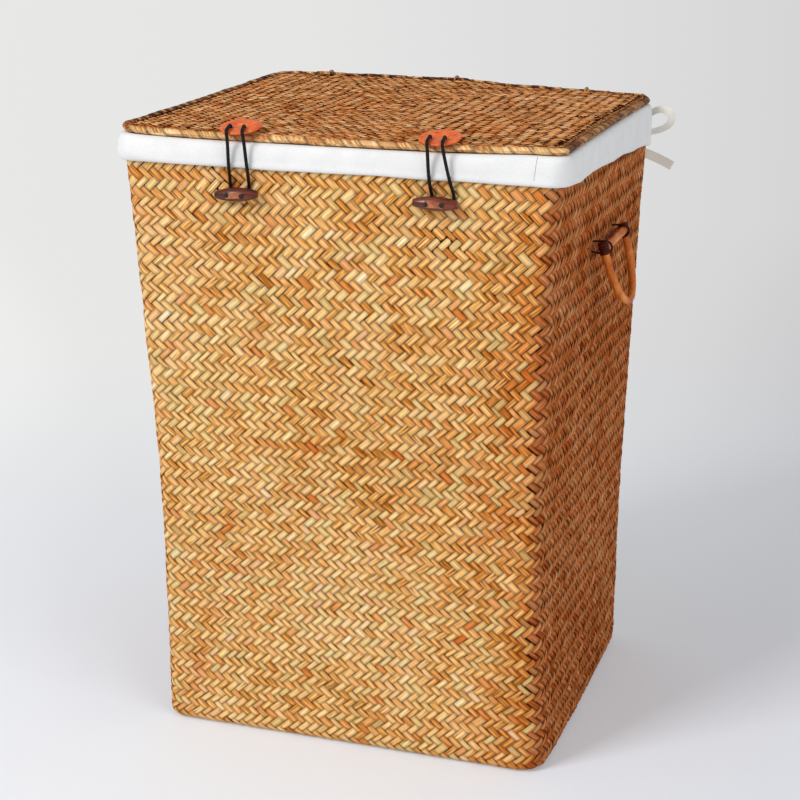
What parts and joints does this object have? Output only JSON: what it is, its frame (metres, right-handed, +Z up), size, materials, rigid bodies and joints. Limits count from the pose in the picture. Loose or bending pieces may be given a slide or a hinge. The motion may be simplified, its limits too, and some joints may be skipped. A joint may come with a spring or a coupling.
{
  "type": "laundry basket woven",
  "caption": "Tall tapered woven straw laundry basket with a hinged lid, cotton liner cuffed over the rim, elastic and toggle closures and swinging rattan grips.",
  "frame": {"origin": "middle of the underside, on the floor", "axes": "+Z up, the front with the two toggles faces -Y, the grips are on the +X and -X ends"},
  "size_m": [0.4468, 0.3771, 0.5771],
  "materials": {
    "straw_weave": "matte",
    "straw_lid": "matte",
    "straw_binding": "matte",
    "cotton": "matte",
    "cotton_tape": "matte",
    "steel_wire": "satin",
    "twine": "matte",
    "button_leather": "satin",
    "elastic_cord": "matte",
    "toggle_wood": "gloss",
    "thong_leather": "satin",
    "rattan": "satin",
    "lashing_cord": "satin"
  },
  "bodies": {
    "basket": {"woven_shell": "straw_weave", "rim_wire": "steel_wire", "base_wire": "steel_wire", "post_front_left": "steel_wire", "post_back_left": "steel_wire", "post_front_right": "steel_wire", "post_back_right": "steel_wire", "base_braces": "steel_wire", "liner_bag": "cotton", "liner_cuff": "cotton", "drawstring": "cotton_tape", "hinge_tie_left": "twine", "hinge_tie_middle": "twine", "hinge_tie_right": "twine", "tape_knot": "cotton_tape", "tape_loop_right": "cotton_tape", "tape_tail_right": "cotton_tape", "tape_loop_left": "cotton_tape", "tape_tail_left": "cotton_tape", "grip_keepers_left": "lashing_cord", "grip_keepers_right": "lashing_cord"},
    "lid": {"lid_panel": "straw_lid", "lid_binding": "straw_binding", "lid_wire": "steel_wire", "button_left": "button_leather", "button_right": "button_leather", "elastic_anchor_left": "elastic_cord", "elastic_anchor_right": "elastic_cord", "elastic_knot_left": "elastic_cord", "elastic_knot_right": "elastic_cord"},
    "elastic_left": {"elastic_loop_left": "elastic_cord"},
    "toggle_left": {"toggle_left": "toggle_wood", "toggle_thong_left": "thong_leather", "toggle_washer_left": "thong_leather"},
    "grip_left": {"grip_bow_left": "rattan", "grip_bar_left": "rattan", "grip_lashings_left": "lashing_cord"},
    "elastic_right": {"elastic_loop_right": "elastic_cord"},
    "toggle_right": {"toggle_right": "toggle_wood", "toggle_thong_right": "thong_leather", "toggle_washer_right": "thong_leather"},
    "grip_right": {"grip_bow_right": "rattan", "grip_bar_right": "rattan", "grip_lashings_right": "lashing_cord"}
  },
  "joints": [
    {"name": "lid_hinge", "type": "hinge", "parent": "basket", "child": "lid", "pos_m": [0, 0.171, 0.5643], "axis": [-1, 0, 0], "range_deg": [0, 105], "deforming": ["elastic_loop_left", "elastic_loop_right"]},
    {"name": "elastic_fold_left", "type": "hinge", "parent": "lid", "child": "elastic_left", "pos_m": [-0.088, -0.182, 0.562], "axis": [1, 0, 0], "range_deg": [0, 75]},
    {"name": "elastic_fold_right", "type": "hinge", "parent": "lid", "child": "elastic_right", "pos_m": [0.088, -0.182, 0.562], "axis": [1, 0, 0], "range_deg": [0, 75]},
    {"name": "toggle_swivel_left", "type": "hinge", "parent": "basket", "child": "toggle_left", "pos_m": [-0.086, -0.18, 0.516], "axis": [0, 1, 0], "range_deg": [-35, 35]},
    {"name": "toggle_swivel_right", "type": "hinge", "parent": "basket", "child": "toggle_right", "pos_m": [0.09, -0.18, 0.5195], "axis": [0, 1, 0], "range_deg": [-35, 35]},
    {"name": "grip_swing_left", "type": "hinge", "parent": "basket", "child": "grip_left", "pos_m": [-0.20211, -0.008, 0.461], "axis": [0, 1, 0], "range_deg": [-15, 140]},
    {"name": "grip_swing_right", "type": "hinge", "parent": "basket", "child": "grip_right", "pos_m": [0.20211, -0.008, 0.461], "axis": [0, -1, 0], "range_deg": [-15, 140]}
  ],
  "couplings": [
    {"joint": "elastic_fold_left", "follows": "lid_hinge", "ratio": 0.71429},
    {"joint": "elastic_fold_right", "follows": "lid_hinge", "ratio": 0.71429}
  ]
}
